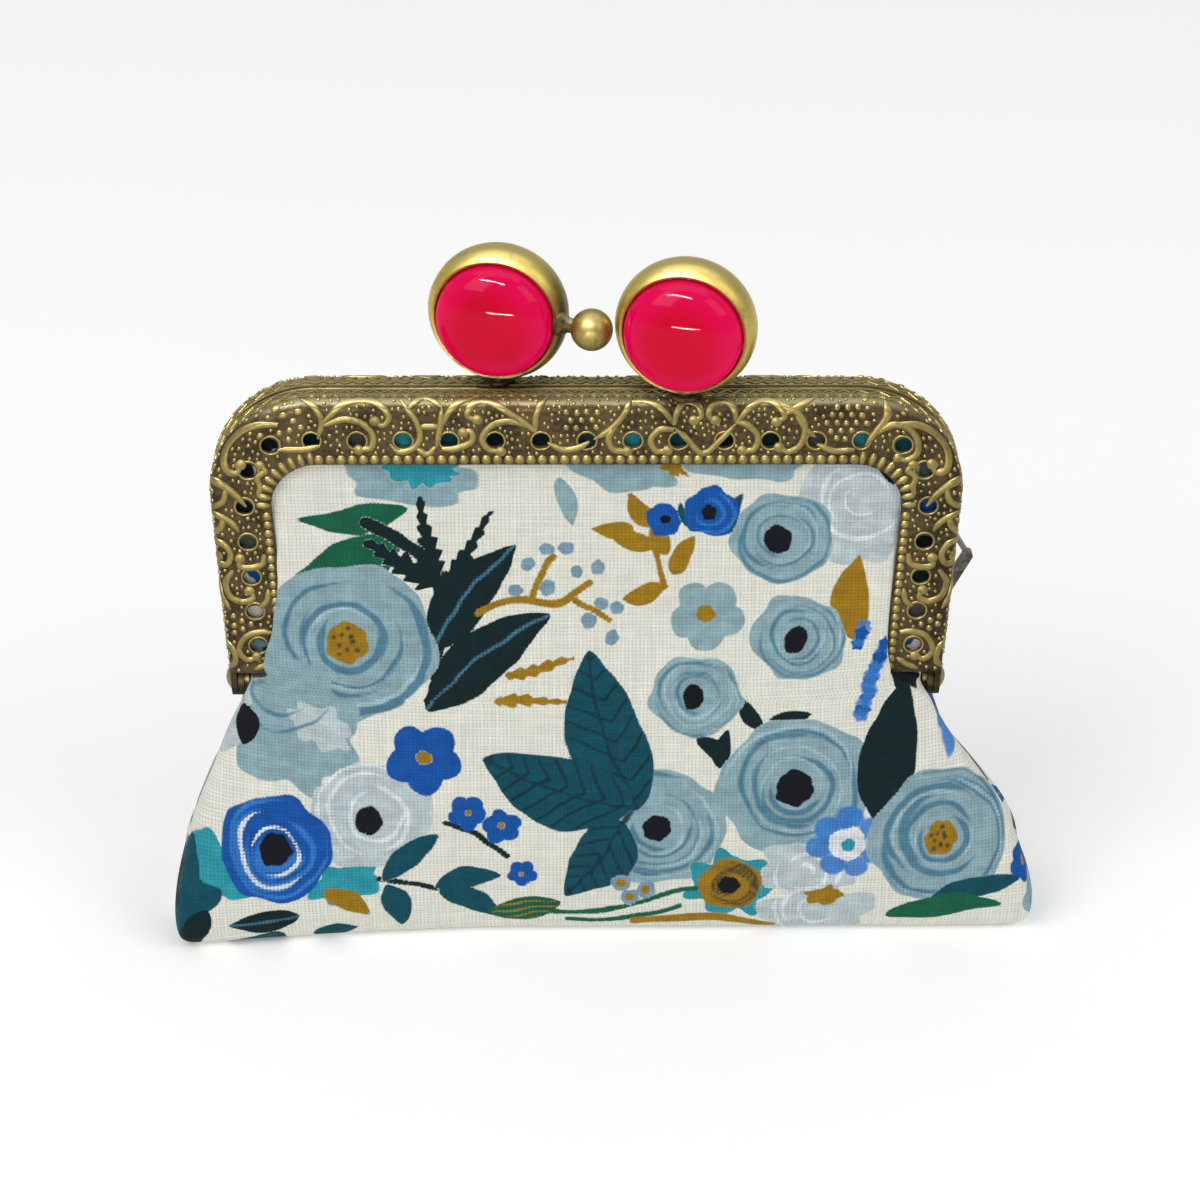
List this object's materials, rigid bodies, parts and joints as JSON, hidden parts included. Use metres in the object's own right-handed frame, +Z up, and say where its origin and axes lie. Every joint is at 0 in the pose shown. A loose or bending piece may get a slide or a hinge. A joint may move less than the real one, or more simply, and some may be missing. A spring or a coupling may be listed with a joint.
{
  "type": "coin purse",
  "caption": "Small floral canvas coin purse with a boxed base, on an embossed brass kiss-lock frame with two glossy pink bead heads and a ball catch.",
  "frame": {"origin": "middle of the base on the surface it stands on", "axes": "+X to the right along the width, -Y out of the front, +Z up"},
  "size_m": [0.1048, 0.0252, 0.0844],
  "materials": {
    "antique_brass": "antiqued, polished on the raised pattern",
    "polished_brass": "satin polished with dark patina in the joints",
    "pink_resin": "high gloss",
    "paper_cord": "twisted kraft paper",
    "printed_canvas": "plain weave, printed flowers on ivory",
    "fleece": "bonded fleece",
    "lining_cotton": "plain ivory cotton"
  },
  "bodies": {
    "pouch": {"outer_front_lower": "printed_canvas", "outer_rear_lower": "printed_canvas", "fleece_front_lower": "fleece", "fleece_rear_lower": "fleece", "lining_front_lower": "lining_cotton", "lining_rear_lower": "lining_cotton"},
    "front_half": {"front_frame": "antique_brass", "front_head_cup": "polished_brass", "front_cabochon": "pink_resin", "front_head_post": "antique_brass", "front_paper_cord": "paper_cord", "outer_front_upper": "printed_canvas", "fleece_front_upper": "fleece", "lining_front_upper": "lining_cotton"},
    "rear_half": {"rear_frame": "antique_brass", "hinge_rivet_left": "antique_brass", "hinge_rivet_right": "antique_brass", "rear_head_cup": "polished_brass", "rear_cabochon": "pink_resin", "rear_head_post": "antique_brass", "lock_ball": "polished_brass", "side_loop": "antique_brass", "rear_paper_cord": "paper_cord", "outer_rear_upper": "printed_canvas", "fleece_rear_upper": "fleece", "lining_rear_upper": "lining_cotton"}
  },
  "joints": [
    {"name": "front_half_hinge", "type": "hinge", "parent": "pouch", "child": "front_half", "pos_m": [0, 0, 0.03], "axis": [1, 0, 0], "range_deg": [0, 45]},
    {"name": "rear_half_hinge", "type": "hinge", "parent": "pouch", "child": "rear_half", "pos_m": [0, 0, 0.03], "axis": [-1, 0, 0], "range_deg": [0, 45]}
  ],
  "couplings": [
    {"joint": "front_half_hinge", "follows": "rear_half_hinge", "ratio": 1}
  ]
}
